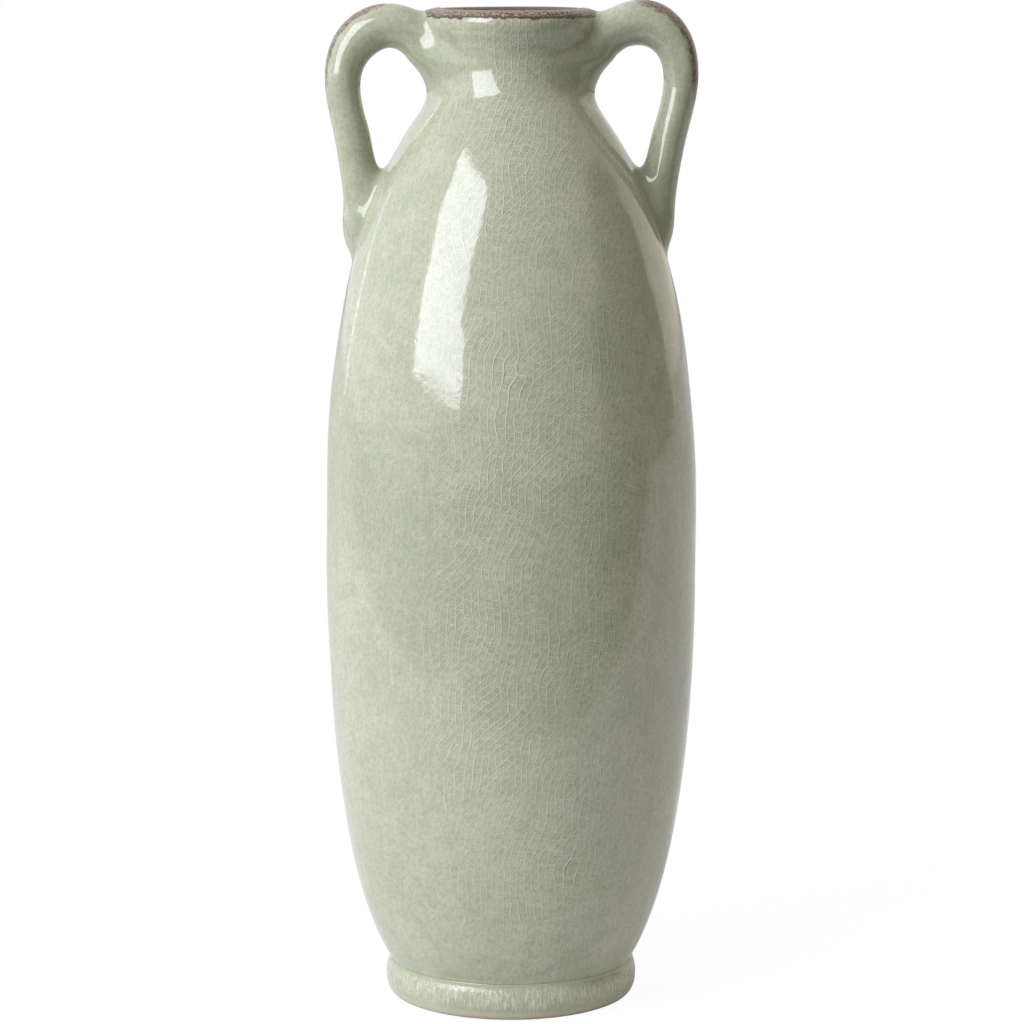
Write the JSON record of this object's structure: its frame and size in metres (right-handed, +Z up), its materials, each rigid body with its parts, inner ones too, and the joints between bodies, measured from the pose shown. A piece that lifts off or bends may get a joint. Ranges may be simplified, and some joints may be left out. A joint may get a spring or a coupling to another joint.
{
  "type": "two-handled stoneware vase",
  "caption": "Tall swelling stoneware vase with a narrow neck, rolled lip, beaded foot ring and a loop handle on each side, in crackled celadon glaze.",
  "frame": {"origin": "centre of the foot, on the plane the vase stands on", "axes": "+Z up along the axis the body was turned on; the two handles lie along X; front and back are -Y and +Y"},
  "size_m": [0.1518, 0.1518, 0.4107],
  "materials": {
    "celadon_glaze": "glossy crackled celadon glaze over stoneware",
    "worn_glaze": "the same crackled glaze, thin and brown along the lip and the handles' outer edges",
    "foot_glaze": "the same glaze run thick into the foot, with a bare stoneware rest face"
  },
  "bodies": {
    "root": {"body_shell": "celadon_glaze", "neck_collar": "worn_glaze", "left_handle": "worn_glaze", "right_handle": "worn_glaze", "foot_ring": "foot_glaze"}
  },
  "joints": []
}
